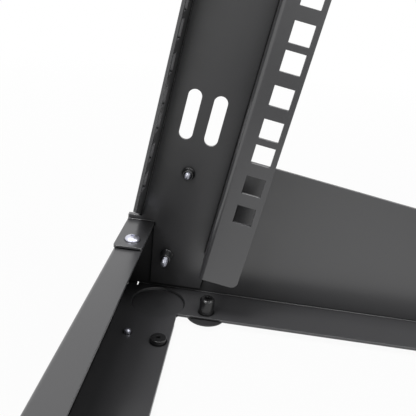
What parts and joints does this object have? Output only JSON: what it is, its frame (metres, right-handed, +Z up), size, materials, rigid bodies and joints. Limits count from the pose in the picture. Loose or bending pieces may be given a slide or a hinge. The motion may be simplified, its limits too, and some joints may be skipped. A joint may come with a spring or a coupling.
{
  "type": "desktop two post rack",
  "caption": "Open-frame desktop equipment rack in black folded steel: leaning posts with square mounting holes, a low base frame on threaded glides and a top beam.",
  "frame": {"origin": "centre of the footprint, at the level of the surface that the feet stand on", "axes": "+X to the right seen from the front, -Y to the front, +Y to the rear, +Z up"},
  "size_m": [0.5124, 0.303, 0.453],
  "materials": {
    "black_powder_coat": "fine matt black powder coat on folded steel sheet",
    "blackened_steel": "blackened threaded steel",
    "black_nylon": "moulded black nylon"
  },
  "bodies": {
    "root": {"left_post": "black_powder_coat", "right_post": "black_powder_coat", "left_side_rail": "black_powder_coat", "right_side_rail": "black_powder_coat", "left_side_panel": "black_powder_coat", "right_side_panel": "black_powder_coat", "front_beam": "black_powder_coat", "rear_beam": "black_powder_coat", "top_beam": "black_powder_coat", "front_left_foot_glide": "black_nylon", "front_left_foot_stud": "blackened_steel", "rear_left_foot_glide": "black_nylon", "rear_left_foot_stud": "blackened_steel", "front_right_foot_glide": "black_nylon", "front_right_foot_stud": "blackened_steel", "rear_right_foot_glide": "black_nylon", "rear_right_foot_stud": "blackened_steel"}
  },
  "joints": []
}
